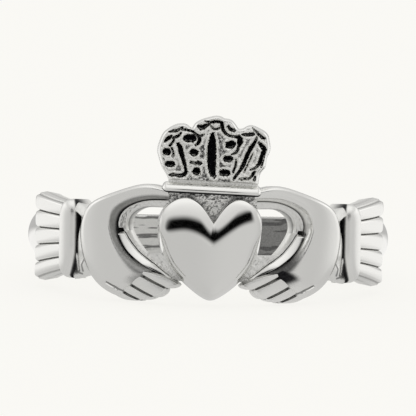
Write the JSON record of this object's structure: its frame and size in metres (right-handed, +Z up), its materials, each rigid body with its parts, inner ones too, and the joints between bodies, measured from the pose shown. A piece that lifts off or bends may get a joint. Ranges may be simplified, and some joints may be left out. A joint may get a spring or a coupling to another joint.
{
  "type": "claddagh ring",
  "caption": "Finger ring of cast silver: two cuffed hands hold a domed heart under a pierced-look beaded crown, with a plain domed band behind.",
  "frame": {"origin": "centre of the finger hole, halfway across the width of the band behind the head", "axes": "+X to the wearer's side that the picture shows on the right, -Y the face with the heart, +Z up from the table the ring lies on; the finger hole's axis leans from +Z towards +Y by the angle at which the ring rests"},
  "size_m": [0.0202, 0.0212, 0.0105],
  "materials": {
    "silver": "sterling silver, polished on its raised faces and blackened in its recesses"
  },
  "bodies": {
    "root": {"ring": "silver"}
  },
  "joints": []
}
